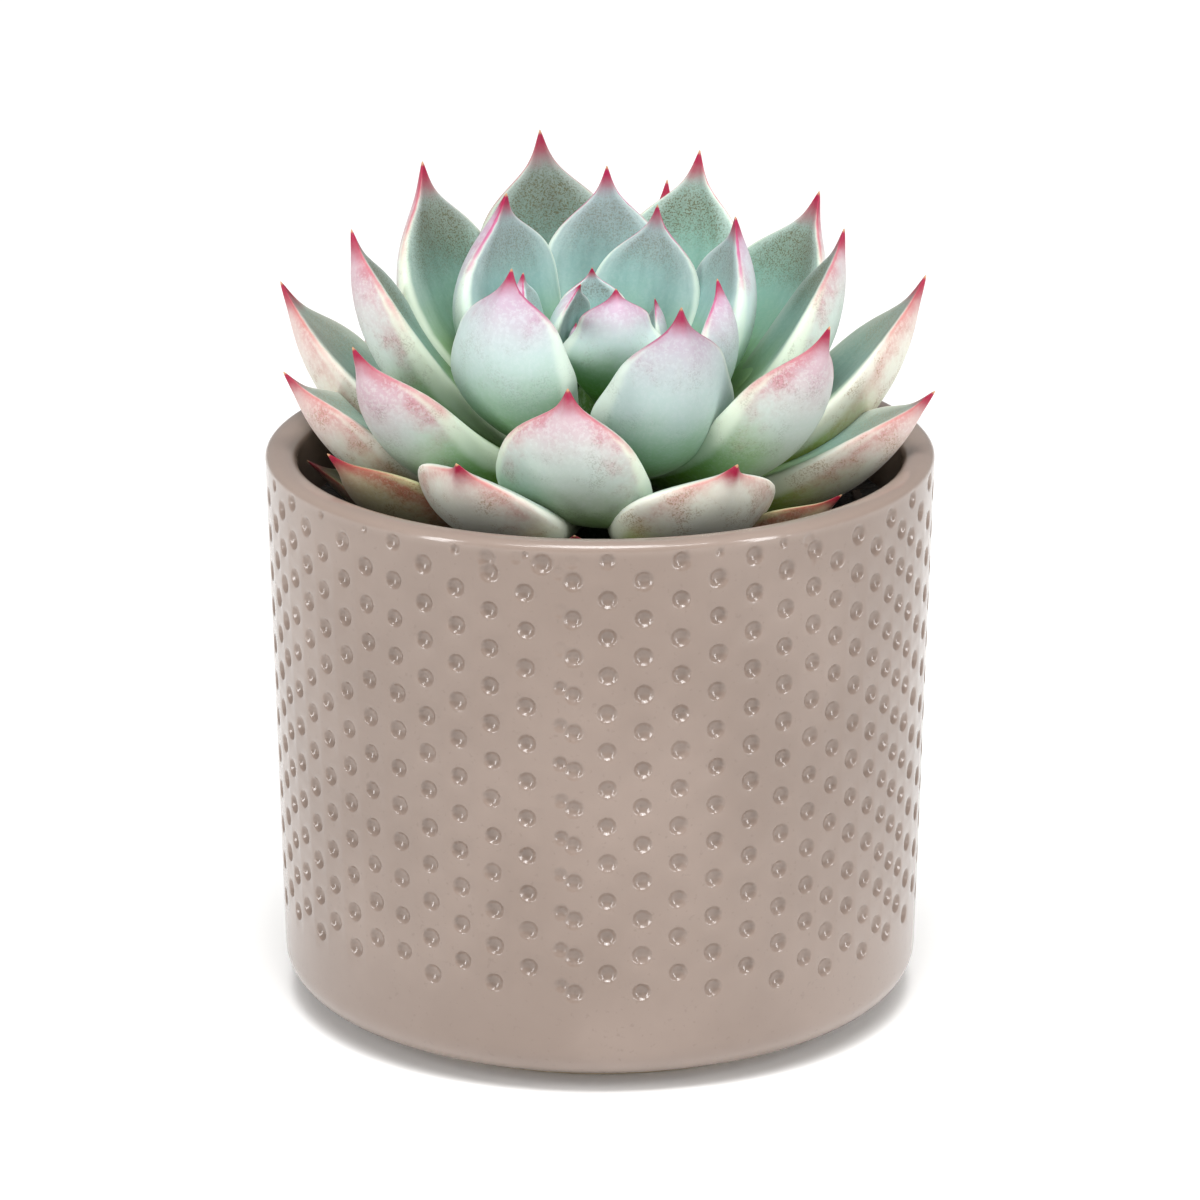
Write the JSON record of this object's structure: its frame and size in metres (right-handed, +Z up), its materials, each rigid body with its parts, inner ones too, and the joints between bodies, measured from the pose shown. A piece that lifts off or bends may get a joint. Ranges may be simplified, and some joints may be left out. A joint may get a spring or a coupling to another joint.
{
  "type": "potted succulent",
  "caption": "Rosette succulent with thick pointed leaves, mint green with pink tips, in a round taupe glazed pot with rows of small dimples.",
  "frame": {"origin": "under the middle of the pot, on the surface that it stands on", "axes": "+Z up, -Y towards the front of the pot, +X to the viewer's right"},
  "size_m": [0.1398, 0.1398, 0.174],
  "materials": {
    "glaze": "satin taupe glaze",
    "soil": "damp dark potting soil with bark, matt and crumbly",
    "stem": "green stem, matt",
    "outer_leaf": "waxy olive green leaf with coral red edges and tip, matt",
    "middle_leaf": "waxy mint green leaf with pink edges and crimson tip, matt",
    "inner_leaf": "waxy pale mint leaf with pink edges and crimson tip, matt",
    "heart_leaf": "waxy pale young leaf with pink tip, matt"
  },
  "bodies": {
    "root": {"pot": "glaze", "soil": "soil", "stem_and_bud": "stem", "leaf_low_01": "outer_leaf", "leaf_low_02": "outer_leaf", "leaf_low_03": "outer_leaf", "leaf_low_04": "outer_leaf", "leaf_low_05": "outer_leaf", "leaf_low_06": "outer_leaf", "leaf_low_07": "outer_leaf", "leaf_outer_08": "outer_leaf", "leaf_outer_09": "outer_leaf", "leaf_outer_10": "outer_leaf", "leaf_outer_11": "outer_leaf", "leaf_outer_12": "outer_leaf", "leaf_outer_13": "outer_leaf", "leaf_outer_14": "outer_leaf", "leaf_outer_15": "outer_leaf", "leaf_outer_16": "outer_leaf", "leaf_outer_17": "outer_leaf", "leaf_middle_18": "middle_leaf", "leaf_middle_19": "middle_leaf", "leaf_middle_20": "middle_leaf", "leaf_middle_21": "middle_leaf", "leaf_middle_22": "middle_leaf", "leaf_middle_23": "middle_leaf", "leaf_middle_24": "middle_leaf", "leaf_middle_25": "middle_leaf", "leaf_middle_26": "middle_leaf", "leaf_inner_27": "inner_leaf", "leaf_inner_28": "inner_leaf", "leaf_inner_29": "inner_leaf", "leaf_inner_30": "inner_leaf", "leaf_inner_31": "inner_leaf", "leaf_inner_32": "inner_leaf", "leaf_inner_33": "inner_leaf", "leaf_heart_34": "heart_leaf", "leaf_heart_35": "heart_leaf", "leaf_heart_36": "heart_leaf", "leaf_heart_37": "heart_leaf", "leaf_heart_38": "heart_leaf"}
  },
  "joints": []
}
